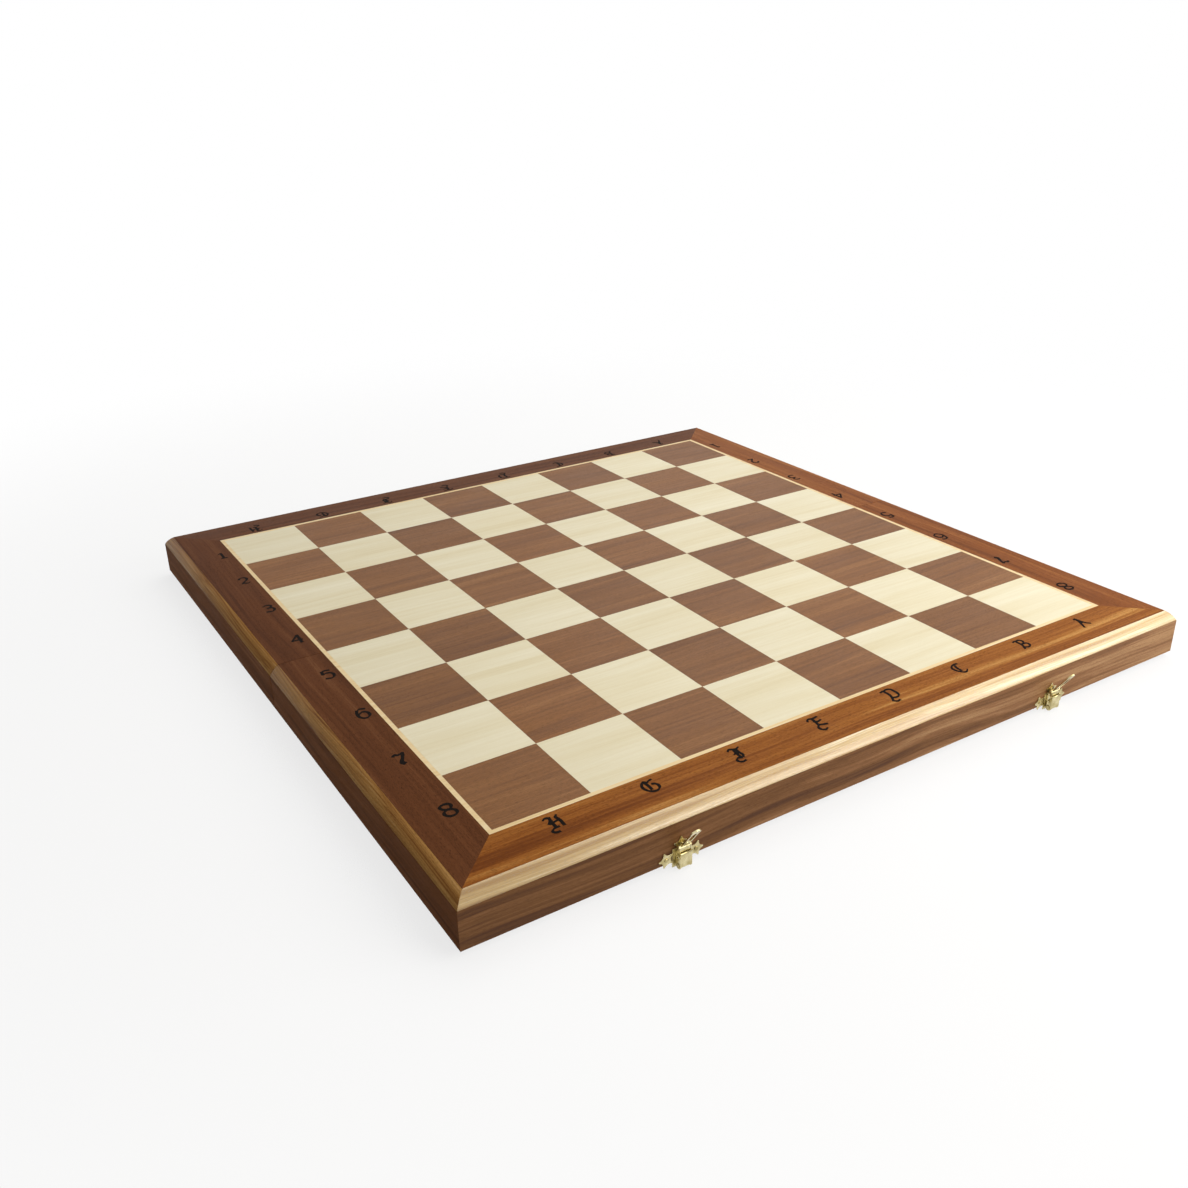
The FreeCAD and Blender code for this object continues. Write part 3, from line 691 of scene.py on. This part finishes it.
# %% Strokes of the pen
# All of these are millimetres, but for the number of steps and the weight and size of a digit.
NIB = Vector((1.4, 0.95, 0.0))
NIB_BACK = Vector((-0.55, 0.8, 0.0))
PEN_STEPS = 6
DIGIT_WEIGHT = 1.15
DIGIT_SIZE = 0.94
OVERRUN = 0.5
INK_THICK = 0.02
INK_STEP = 0.006
INK_RISE = 0.004
GLYPHS = {
    "A": [
        [(0.6, 6.3), (-0.2, 2.7), (-1.9, -1.0), (-4.4, -5.5)],
        [(0.6, 6.3), (1.3, 0.9), (2.4, -2.4), (3.9, -3.7)],
        [(-1.2, 5.5), (0.6, 6.3)],
        [(-1.6, -0.1), (1.8, 0.2)],
    ],
    "B": [
        [(-2.8, 5.9), (-1.4, 6.4), (0.2, 6.1)],
        [(-0.4, 5.6), (-0.7, 0.4), (-3.2, -4.1)],
        [(-0.3, 6.0), (2.7, 6.1), (3.9, 4.3), (2.2, 2.0), (0.2, 1.4)],
        [(0.9, 1.4), (3.6, 0.9), (4.0, -1.6), (1.1, -3.5), (-1.0, -2.7)],
    ],
    "C": [
        [(3.6, 6.3), (0.2, 6.2), (-3.2, 4.0), (-3.7, 0.9), (-2.3, -2.3), (0.2, -4.2), (3.6, -2.4)],
        [(0.6, 5.0), (-0.5, 2.7), (-0.7, -1.6)],
    ],
    "D": [
        [(-3.8, 6.0), (-2.3, 6.4), (-0.5, 6.4)],
        [(-1.2, 5.6), (-1.2, 0.9), (-2.8, -2.8), (-4.3, -5.0)],
        [(-1.2, 5.9), (1.3, 6.9), (3.9, 5.9), (4.4, 3.1), (4.2, -0.3), (2.9, -2.3), (0.6, -2.9),
         (-1.2, -2.4)],
        [(-4.3, -5.0), (-2.5, -6.6), (0.0, -6.3)],
    ],
    "E": [
        [(-4.0, 5.0), (-2.6, 6.5), (0.6, 6.0), (4.0, 6.4)],
        [(-0.2, 5.6), (-0.4, 3.1), (-1.2, -1.4)],
        [(-1.2, 3.1), (1.3, 2.0), (3.6, 2.6)],
        [(-1.2, -0.9), (1.1, -2.0), (4.0, -2.7)],
        [(-1.2, -1.3), (-3.1, -3.5), (-2.8, -6.0), (-1.0, -7.0), (1.0, -6.4)],
    ],
    "F": [
        [(-3.5, 5.2), (-2.1, 6.4), (0.2, 5.5), (1.8, 5.0), (4.0, 5.9)],
        [(0.2, 5.4), (-0.5, 1.3), (-0.8, -2.8)],
        [(-2.3, 0.9), (-0.5, 1.7), (1.3, 1.7)],
        [(1.5, 4.3), (1.3, 1.3), (1.6, -1.6), (0.4, -3.5)],
        [(-0.7, -3.5), (-3.2, -3.1), (-4.6, -5.0), (-3.0, -7.0), (-0.4, -6.8)],
    ],
    "G": [
        [(-2.5, 5.6), (-4.0, 2.7), (-3.5, -0.7), (-1.6, -3.0), (0.9, -3.7), (3.1, -2.8),
         (4.4, -0.3), (3.6, 2.0), (2.2, 2.6)],
        [(-0.7, 5.2), (-0.5, 2.2), (-0.7, -1.4)],
        [(-2.6, 5.2), (-1.2, 6.4), (0.6, 5.3), (2.2, 6.0), (3.9, 6.4)],
    ],
    "H": [
        [(-4.1, 6.1), (-2.8, 7.0), (-1.2, 6.7), (-0.5, 6.3)],
        [(-0.5, 6.7), (-1.0, 2.2), (-1.2, -2.4)],
        [(-0.7, 4.5), (-3.1, 1.7)],
        [(-2.5, 1.3), (0.2, 2.0), (3.1, 2.7)],
        [(3.9, 6.8), (2.9, 5.6), (3.4, 2.7), (3.3, -2.8)],
        [(0.4, -2.4), (-3.0, -3.0), (-4.4, -5.0), (-2.8, -6.2), (-1.2, -6.2)],
    ],
    "1": [
        [(-2.0, 4.2), (0.8, 6.4)],
        [(0.8, 6.4), (0.6, -5.6)],
        [(-1.6, -5.8), (2.8, -5.6)],
    ],
    "2": [
        [(-2.8, 4.0), (-1.6, 6.4), (2.2, 6.2), (3.0, 2.4), (-0.2, -2.0), (-2.8, -5.2)],
        [(-2.8, -5.2), (-0.8, -4.6), (1.2, -5.8), (3.4, -4.6)],
    ],
    "3": [
        [(-2.6, 5.4), (0.4, 6.4), (3.0, 4.8), (2.0, 2.0), (-0.6, 1.0)],
        [(-0.4, 1.0), (2.8, 0.2), (3.6, -3.0), (1.6, -5.8), (-2.8, -5.2)],
    ],
    "4": [
        [(2.7, 6.6), (-3.3, -1.4)],
        [(-3.3, -1.4), (4.0, -1.5)],
        [(2.7, 6.6), (2.3, -6.2)],
    ],
    "5": [
        [(-2.1, 5.4), (0.4, 6.1), (3.1, 5.5)],
        [(-2.1, 5.4), (-2.5, 1.1)],
        [(-2.5, 0.9), (0.4, 2.2), (3.4, 0.4), (3.6, -3.5), (1.3, -6.0), (-2.5, -5.2)],
    ],
    "6": [
        [(3.7, 5.4), (0.6, 6.2), (-1.4, 5.2)],
        [(-1.6, 5.4), (-2.9, 0.9), (-2.5, -3.7), (0.0, -6.0), (3.2, -4.6), (3.9, -1.6), (2.8, 1.3),
         (0.6, 2.0), (-1.6, 0.4)],
    ],
    "7": [
        [(-3.7, 4.5), (-2.8, 6.0), (-0.5, 4.9), (2.9, 6.2)],
        [(2.7, 5.9), (1.3, 2.0), (-1.2, -1.8), (-2.0, -4.6), (-0.8, -6.0)],
        [(2.2, 4.4), (0.2, -0.4), (-0.9, -3.6), (0.2, -5.4)],
    ],
    "8": [
        [(0.2, 6.1), (-2.6, 5.0), (-2.6, 2.4), (0.4, 0.6), (3.1, 2.4), (2.9, 5.0), (0.2, 6.1)],
        [(0.4, 0.6), (-2.8, -1.2), (-3.0, -4.0), (0.2, -6.0), (3.6, -4.2), (3.3, -1.2),
         (0.4, 0.6)],
    ],
}
print("glyphs drawn by hand:", len(GLYPHS))


# %% Draw one glyph
def pen_path(stroke):
    """Points along one smooth stroke, in millimetres."""
    curve = bpy.data.curves.new("stroke", "CURVE")
    curve.dimensions = "3D"
    curve.resolution_u = PEN_STEPS
    spline = curve.splines.new("BEZIER")
    spline.bezier_points.add(len(stroke) - 1)
    for point, (x, y) in zip(spline.bezier_points, stroke):
        point.co = (x, y, 0.0)
        point.handle_left_type = point.handle_right_type = "AUTO"
    holder = bpy.data.objects.new("stroke", curve)
    mesh = bpy.data.meshes.new_from_object(holder)
    points = [vert.co.copy() for vert in mesh.vertices]
    bpy.data.objects.remove(holder)
    bpy.data.curves.remove(curve)
    bpy.data.meshes.remove(mesh)
    points[0] -= (points[1] - points[0]).normalized() * OVERRUN
    points[-1] += (points[-1] - points[-2]).normalized() * OVERRUN
    return points


def ink_stroke(points, weight):
    """A thin ribbon along the points, thick across the nib and thin along it."""
    ribbon = bmesh.new()
    line = [ribbon.verts.new(point) for point in points]
    for a, b in zip(line, line[1:]):
        ribbon.edges.new((a, b))
    swept = bmesh.ops.extrude_edge_only(ribbon, edges=ribbon.edges[:])
    twins = {part for part in swept["geom"] if isinstance(part, bmesh.types.BMVert)}
    for i, vert in enumerate(line):
        way = (points[min(i + 1, len(points) - 1)] - points[max(i - 1, 0)]).normalized()
        half_width = weight * (abs(NIB.cross(way).z) + abs(NIB_BACK.cross(way).z)) / 2
        aside = Vector((-way.y, way.x, 0.0)) * half_width
        twin = next(e.other_vert(vert) for e in vert.link_edges if e.other_vert(vert) in twins)
        lift = Vector((0.0, 0.0, INK_RISE * i / len(points)))
        vert.co = points[i] + aside + lift
        twin.co = points[i] - aside + lift
    ribbon.normal_update()
    bmesh.ops.solidify(ribbon, geom=ribbon.faces[:], thickness=INK_THICK)
    bmesh.ops.recalc_face_normals(ribbon, faces=ribbon.faces[:])
    return ribbon


def stamp(board, name, spot, turned):
    """Adds one glyph to a bmesh, with its middle at a spot on the playing face."""
    turn = Matrix.Rotation(math.pi if turned else 0.0, 4, "Z")
    weight, size = (DIGIT_WEIGHT, DIGIT_SIZE) if name.isdigit() else (1.0, 1.0)
    for index, stroke in enumerate(GLYPHS[name]):
        ribbon = ink_stroke(pen_path(stroke), weight)
        lowest = min(vert.co.z for vert in ribbon.verts)
        rise = Matrix.Translation((0, 0, INK_STEP * (index + 1) - lowest))
        place = Matrix.Translation(spot) @ turn @ Matrix.Scale(size * MM, 4) @ rise
        bmesh.ops.transform(ribbon, matrix=place, verts=ribbon.verts[:])
        gather(board, ribbon)


# %% Ink
INK_SCALE = 1800.0
INK_FULL = 0.4
INK_THIN = 0.75
INK_ROUGHNESS = 0.6
INK_SHINE = 0.02


def ink():
    """Matt black printing ink, a little browner where it lies thin."""
    material, tree, shader = blank("stamped_ink")
    place = add(tree, "ShaderNodeTexCoord").outputs["Object"]
    wear = add(tree, "ShaderNodeTexNoise", {"Vector": place, "Scale": INK_SCALE, "Detail": 3.0})
    tone = ramp(tree, wear.outputs["Fac"], [(INK_FULL, shade("0e0a08")), (INK_THIN, shade("241a13"))])
    tree.links.new(tone, shader.inputs["Base Color"])
    shader.inputs["Roughness"].default_value = INK_ROUGHNESS
    shader.inputs["Specular IOR Level"].default_value = INK_SHINE
    return material


# %% Stamp the border
LETTER_OUT = 13.5 * MM
DIGIT_OUT = 11.0 * MM
DIGIT_NEAR = 1.6 * MM
stamped_ink = ink()
for half in HALVES:
    board = bmesh.new()
    way = -1 if half == "front" else 1
    edge_y = fold_y + way * (half_gap + RANKS_PER_HALF * square + LETTER_OUT)
    for file, letter in enumerate("HGFEDCBA"):
        x = (file - (FILES - 1) / 2) * square
        stamp(board, letter, (x, edge_y, top_z), half == "rear")
    for step in range(RANKS_PER_HALF):
        rank = RANKS_PER_HALF + 1 + step if half == "front" else RANKS_PER_HALF - step
        y = fold_y + way * (half_gap + (step + 0.5) * square)
        for hand in (-1, 1):
            x = hand * (FILES / 2 * square + DIGIT_OUT)
            stamp(board, str(rank), (x, y + hand * DIGIT_NEAR, top_z), hand > 0)
    marks = piece(f"{half}_coordinates", board, f"{half}_half", stamped_ink)
    print(marks.name, len(marks.data.polygons), "faces")

# %% [markdown]
# ## Floor and light
# The board is shown on a plain white floor in soft studio light. A wide lamp low at the front and right
# makes the near wall and its moulding bright, and the left side falls into shade. A big one overhead lights
# the squares. A solid floor would come out grey in the light that suits the board. The floor is therefore a
# thin veil over the white backdrop: it catches a soft shadow round the board and lets everything else
# through, and the light that a white floor would throw back comes from the lower half of the world.

# %% Floor
FLOOR_SIZE = 6.0
FLOOR_DUSTY = 0.94
FLOOR_CLEAN = 0.96
FLOOR_ROUGHNESS = 0.95
DUST_SCALE = 3.0
DUSTY_NOISE = 0.3
CLEAN_NOISE = 0.7
VEIL_SHARE = 0.24
VEIL_FULL_TO = 0.35
VEIL_GONE_AT = 0.95


def seen_rays(tree):
    """1 for rays that show the background: straight to the camera, mirrored or through glass."""
    ray = add(tree, "ShaderNodeLightPath").outputs
    shown = maths(tree, "MAXIMUM", ray["Is Camera Ray"], ray["Is Glossy Ray"])
    return maths(tree, "MAXIMUM", shown, ray["Is Transmission Ray"])


floor_mesh = bmesh.new()
bmesh.ops.create_grid(floor_mesh, x_segments=1, y_segments=1, size=FLOOR_SIZE)
floor_data = bpy.data.meshes.new("floor")
floor_mesh.to_mesh(floor_data)
floor_mesh.free()
floor = bpy.data.objects.new("floor", floor_data)
bpy.context.scene.collection.objects.link(floor)
floor_paint, floor_tree, floor_shader = blank("floor_paint")
spot = add(floor_tree, "ShaderNodeTexCoord").outputs["Object"]
dust = add(floor_tree, "ShaderNodeTexNoise", {"Vector": spot, "Scale": DUST_SCALE}).outputs["Fac"]
white = ramp(floor_tree, dust, [(DUSTY_NOISE, grey(FLOOR_DUSTY)), (CLEAN_NOISE, grey(FLOOR_CLEAN))])
floor_tree.links.new(white, floor_shader.inputs["Base Color"])
floor_shader.inputs["Roughness"].default_value = FLOOR_ROUGHNESS
floor_shader.inputs["Specular IOR Level"].default_value = 0.0
floor_data.materials.append(floor_paint)
print("floor", 2 * FLOOR_SIZE, "m wide")

# %% Thin the floor to a veil
far = add(floor_tree, "ShaderNodeVectorMath", {0: spot}, operation="LENGTH").outputs["Value"]
near = add(floor_tree, "ShaderNodeMapRange", {"Value": far, "From Min": VEIL_FULL_TO,
                                              "From Max": VEIL_GONE_AT, "To Min": VEIL_SHARE,
                                              "To Max": 0.0}, interpolation_type="SMOOTHSTEP")
clear = add(floor_tree, "ShaderNodeBsdfTransparent")
below = add(floor_tree, "ShaderNodeNewGeometry").outputs["Backfacing"]
shown = maths(floor_tree, "SUBTRACT", seen_rays(floor_tree), below)
share = maths(floor_tree, "MULTIPLY", near.outputs["Result"], shown)
veil = add(floor_tree, "ShaderNodeMixShader", {0: share})
floor_tree.links.new(clear.outputs[0], veil.inputs[1])
floor_tree.links.new(floor_shader.outputs[0], veil.inputs[2])
floor_tree.links.new(veil.outputs[0], floor_tree.nodes["Material Output"].inputs["Surface"])
print("veil:", VEIL_SHARE, "of the floor shows, out to", VEIL_GONE_AT, "m")

# %% World
AMBIENT = 0.2
FLOOR_BOUNCE = 0.36
HORIZON = 0.05
world = bpy.data.worlds.new("studio")
bpy.context.scene.world = world
world.use_nodes = True
sky = world.node_tree
backdrop = sky.nodes["Background"]
backdrop.inputs["Color"].default_value = grey(1.0)
direction = add(sky, "ShaderNodeTexCoord").outputs["Generated"]
upward = add(sky, "ShaderNodeSeparateXYZ", {0: direction}).outputs["Z"]
glow = add(sky, "ShaderNodeMapRange", {"Value": upward, "From Min": -HORIZON, "From Max": HORIZON,
                                       "To Min": FLOOR_BOUNCE, "To Max": AMBIENT}).outputs["Result"]
sky.links.new(maths(sky, "MAXIMUM", glow, seen_rays(sky)), backdrop.inputs["Strength"])
print("world: from above", AMBIENT, "and from below", FLOOR_BOUNCE)


# %% Lamps
def lamp(name, place, target, width, height, watts, colour):
    """A rectangular lamp that looks at a target."""
    data = bpy.data.lights.new(name, "AREA")
    data.shape = "RECTANGLE"
    data.size = width
    data.size_y = height
    data.energy = watts
    data.color = colour
    obj = bpy.data.objects.new(name, data)
    bpy.context.scene.collection.objects.link(obj)
    obj.location = place
    obj.rotation_euler = (Vector(target) - Vector(place)).to_track_quat("-Z", "Y").to_euler()
    return obj


key = lamp("key", place=(0.72, -0.8, 0.44), target=(0.5, -0.1, 0.0), width=1.5, height=0.7, watts=11.9,
           colour=(1.0, 0.97, 0.92))
overhead = lamp("overhead", place=(0.75, 0.35, 1.4), target=(0.0, 0.0, 0.0), width=2.0, height=2.0,
                watts=21.5, colour=(1.0, 0.98, 0.95))
for light in (key, overhead):
    print("lamp", light.name, round(light.data.energy, 1), "W")

# %% [markdown]
# ## Camera
# The camera could be placed by eye. Its place, turn and lens were solved from the photograph instead, by
# lining up the corners of the squares and the straight edges of the board, which are known lines once the
# board's sizes are fixed.

# %% Camera
CAMERA_PLACE = Vector((-0.43725, fold_y - 0.66726, 0.38101))
CAMERA_RIGHT = Vector((0.84692, -0.53139, -0.01895)).normalized()
CAMERA_LOOK = Vector((0.47623, 0.77390, -0.41748)).normalized()
LENS_PIXELS = 1165.9
FRAME_PIXELS = 1188
SENSOR = 36.0
NEAREST = 0.02
lens = bpy.data.cameras.new("camera")
lens.sensor_width = SENSOR
lens.lens = LENS_PIXELS / FRAME_PIXELS * lens.sensor_width
lens.clip_start = NEAREST
camera = bpy.data.objects.new("camera", lens)
bpy.context.scene.collection.objects.link(camera)
camera_up = CAMERA_RIGHT.cross(CAMERA_LOOK)
turned = Matrix((CAMERA_RIGHT, camera_up, -CAMERA_LOOK)).transposed().to_4x4()
camera.matrix_world = Matrix.Translation(CAMERA_PLACE) @ turned
bpy.context.scene.camera = camera
bpy.context.scene.view_settings.view_transform = "Standard"
print(f"lens {lens.lens:.2f} mm")
